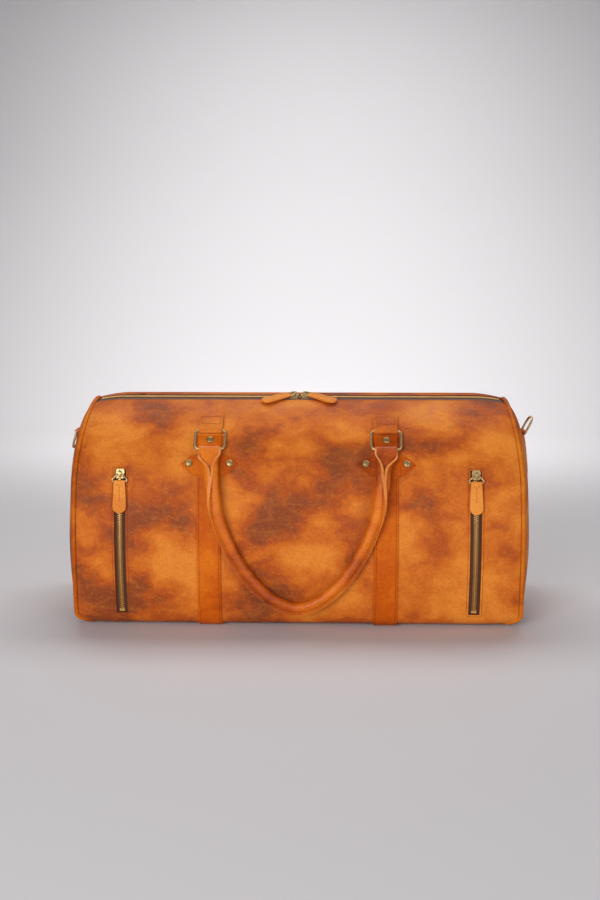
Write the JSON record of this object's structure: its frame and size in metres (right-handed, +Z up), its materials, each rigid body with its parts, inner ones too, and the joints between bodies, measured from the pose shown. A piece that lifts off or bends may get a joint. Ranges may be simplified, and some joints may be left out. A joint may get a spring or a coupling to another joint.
{
  "type": "duffel bag",
  "caption": "Leather weekender duffel bag with a barrel top, zipped mouth, two rolled hanging handles on rings, vertical zipped front pockets and end rings.",
  "frame": {"origin": "on the floor under the middle of the bag", "axes": "+X along the bag to its right end, -Y out of the front with the pockets, +Z up"},
  "size_m": [0.5996, 0.2855, 0.2838],
  "materials": {
    "hide": "waxed pull-up leather, mottled tan",
    "pale_hide": "matte tan leather with pale cut edges",
    "handle_hide": "burnished tan leather",
    "brass": "polished pale brass",
    "aged_brass": "aged antique brass",
    "tape": "dark brown woven zip tape",
    "lining": "brown cotton lining",
    "board": "stiff base board",
    "core": "twisted cotton cord"
  },
  "bodies": {
    "bag": {"front_panel": "hide", "back_panel": "hide", "base_panel": "hide", "left_end_panel": "hide", "right_end_panel": "hide", "left_end_tab": "hide", "right_end_tab": "hide", "left_strap": "hide", "right_strap": "hide", "front_left_wing": "hide", "front_left_ring_tab": "hide", "front_right_wing": "hide", "front_right_ring_tab": "hide", "back_left_wing": "hide", "back_left_ring_tab": "hide", "back_right_wing": "hide", "back_right_ring_tab": "hide", "left_piping": "pale_hide", "right_piping": "pale_hide", "front_left_rivets": "aged_brass", "front_right_rivets": "aged_brass", "back_left_rivets": "aged_brass", "back_right_rivets": "aged_brass", "front_zip_teeth": "aged_brass", "back_zip_teeth": "aged_brass", "pocket_left_teeth": "aged_brass", "pocket_right_teeth": "aged_brass", "front_zip_tape": "tape", "back_zip_tape": "tape", "pocket_left_tape": "tape", "pocket_right_tape": "tape", "lining": "lining", "pocket_left_bag": "lining", "pocket_right_bag": "lining", "base_board": "board"},
    "front_left_ring_body": {"front_left_ring": "brass"},
    "front_right_ring_body": {"front_right_ring": "brass"},
    "front_handle_body": {"front_handle": "handle_hide", "front_handle_core": "core"},
    "back_left_ring_body": {"back_left_ring": "brass"},
    "back_right_ring_body": {"back_right_ring": "brass"},
    "back_handle_body": {"back_handle": "handle_hide", "back_handle_core": "core"},
    "main_left_slider_body": {"main_left_slider": "brass"},
    "main_left_pull_body": {"main_left_puller": "brass", "main_left_pull_tab": "pale_hide"},
    "main_right_slider_body": {"main_right_slider": "brass"},
    "main_right_pull_body": {"main_right_puller": "brass", "main_right_pull_tab": "pale_hide"},
    "pocket_left_slider_body": {"pocket_left_slider": "brass"},
    "pocket_left_pull_body": {"pocket_left_puller": "brass", "pocket_left_pull_tab": "pale_hide"},
    "pocket_right_slider_body": {"pocket_right_slider": "brass"},
    "pocket_right_pull_body": {"pocket_right_puller": "brass", "pocket_right_pull_tab": "pale_hide"},
    "left_end_ring_body": {"left_end_ring": "brass"},
    "right_end_ring_body": {"right_end_ring": "brass"}
  },
  "joints": [
    {"name": "front_left_ring_swing", "type": "hinge", "parent": "bag", "child": "front_left_ring_body", "pos_m": [-0.1085, -0.08722, 0.24241], "axis": [-1, 0, 0], "range_deg": [0, 130]},
    {"name": "front_right_ring_swing", "type": "hinge", "parent": "bag", "child": "front_right_ring_body", "pos_m": [0.1085, -0.08722, 0.24241], "axis": [-1, 0, 0], "range_deg": [0, 130]},
    {"name": "front_handle_swing", "type": "hinge", "parent": "front_left_ring_body", "child": "front_handle_body", "pos_m": [-0.1085, -0.10667, 0.22227], "axis": [-1, 0, 0], "range_deg": [0, 60]},
    {"name": "back_left_ring_swing", "type": "hinge", "parent": "bag", "child": "back_left_ring_body", "pos_m": [-0.1085, 0.08642, 0.24376], "axis": [1, 0, 0], "range_deg": [0, 130]},
    {"name": "back_right_ring_swing", "type": "hinge", "parent": "bag", "child": "back_right_ring_body", "pos_m": [0.1085, 0.08642, 0.24376], "axis": [1, 0, 0], "range_deg": [0, 130]},
    {"name": "back_handle_swing", "type": "hinge", "parent": "back_left_ring_body", "child": "back_handle_body", "pos_m": [-0.1085, 0.10588, 0.22362], "axis": [1, 0, 0], "range_deg": [0, 60]},
    {"name": "main_left_slide", "type": "slide", "parent": "bag", "child": "main_left_slider_body", "axis": [-1, 0, 0], "range_m": [0, 0.205]},
    {"name": "main_left_pull_swing", "type": "hinge", "parent": "main_left_slider_body", "child": "main_left_pull_body", "pos_m": [-0.0076, -0.01056, 0.28126], "axis": [-0.5878, 0.8022, 0.1046], "range_deg": [0, 90]},
    {"name": "pocket_left_slide", "type": "hinge", "parent": "bag", "child": "pocket_left_slider_body", "pos_m": [-0.2175, 0.202, 0.09598], "axis": [1, 0, 0], "range_deg": [0, 24]},
    {"name": "pocket_left_pull_swing", "type": "hinge", "parent": "pocket_left_slider_body", "child": "pocket_left_pull_body", "pos_m": [-0.2175, -0.1174, 0.19308], "axis": [-1, 0, 0], "range_deg": [0, 140]},
    {"name": "main_right_slide", "type": "slide", "parent": "bag", "child": "main_right_slider_body", "axis": [1, 0, 0], "range_m": [0, 0.205]},
    {"name": "main_right_pull_swing", "type": "hinge", "parent": "main_right_slider_body", "child": "main_right_pull_body", "pos_m": [0.0076, -0.01056, 0.28126], "axis": [-0.5878, -0.8022, -0.1046], "range_deg": [0, 90]},
    {"name": "pocket_right_slide", "type": "hinge", "parent": "bag", "child": "pocket_right_slider_body", "pos_m": [0.2175, 0.202, 0.09598], "axis": [1, 0, 0], "range_deg": [0, 24]},
    {"name": "pocket_right_pull_swing", "type": "hinge", "parent": "pocket_right_slider_body", "child": "pocket_right_pull_body", "pos_m": [0.2175, -0.1174, 0.19308], "axis": [-1, 0, 0], "range_deg": [0, 140]},
    {"name": "right_end_ring_swing", "type": "hinge", "parent": "bag", "child": "right_end_ring_body", "pos_m": [0.29014, 0, 0.23], "axis": [0, 1, 0], "range_deg": [-25, 130]},
    {"name": "left_end_ring_swing", "type": "hinge", "parent": "bag", "child": "left_end_ring_body", "pos_m": [-0.29014, 0, 0.23], "axis": [0, 1, 0], "range_deg": [0, 150]}
  ],
  "couplings": [
    {"joint": "front_right_ring_swing", "follows": "front_left_ring_swing", "ratio": 1},
    {"joint": "back_right_ring_swing", "follows": "back_left_ring_swing", "ratio": 1}
  ]
}
